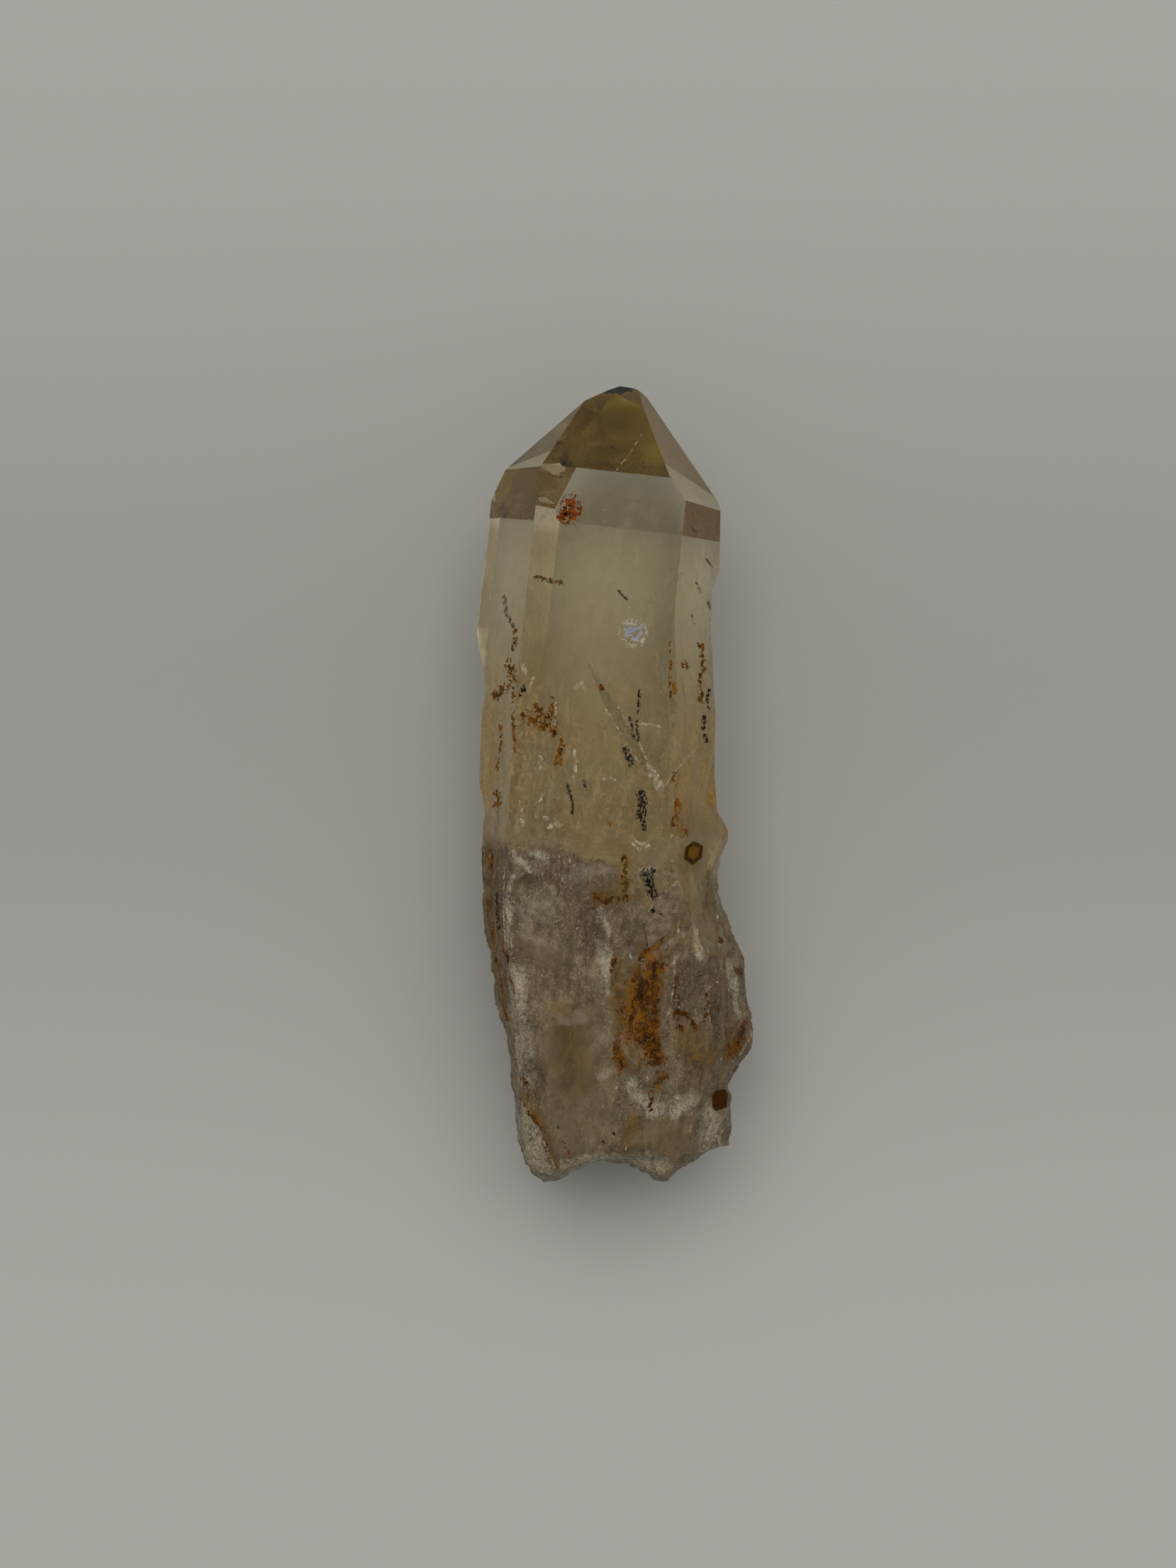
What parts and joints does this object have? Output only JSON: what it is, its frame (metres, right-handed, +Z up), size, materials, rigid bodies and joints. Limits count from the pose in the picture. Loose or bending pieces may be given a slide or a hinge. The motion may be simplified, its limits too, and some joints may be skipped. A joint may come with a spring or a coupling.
{
  "type": "citrine crystal",
  "caption": "Clear smoky-yellow quartz crystal point lying on one flat side, with flat end faces at the tip and a milky, rust-stained, broken root.",
  "frame": {"origin": "on the surface it lies on, under the middle of its bounding box", "axes": "+Y along the crystal towards its tip, +X to the right seen from above with the tip away, +Z up out of the broad flat side on top"},
  "size_m": [0.0326, 0.0936, 0.0222],
  "materials": {
    "citrine": "clear quartz, smoky yellow towards the tip, milky mauve with rust stains towards the root"
  },
  "bodies": {
    "root": {"crystal": "citrine"}
  },
  "joints": []
}
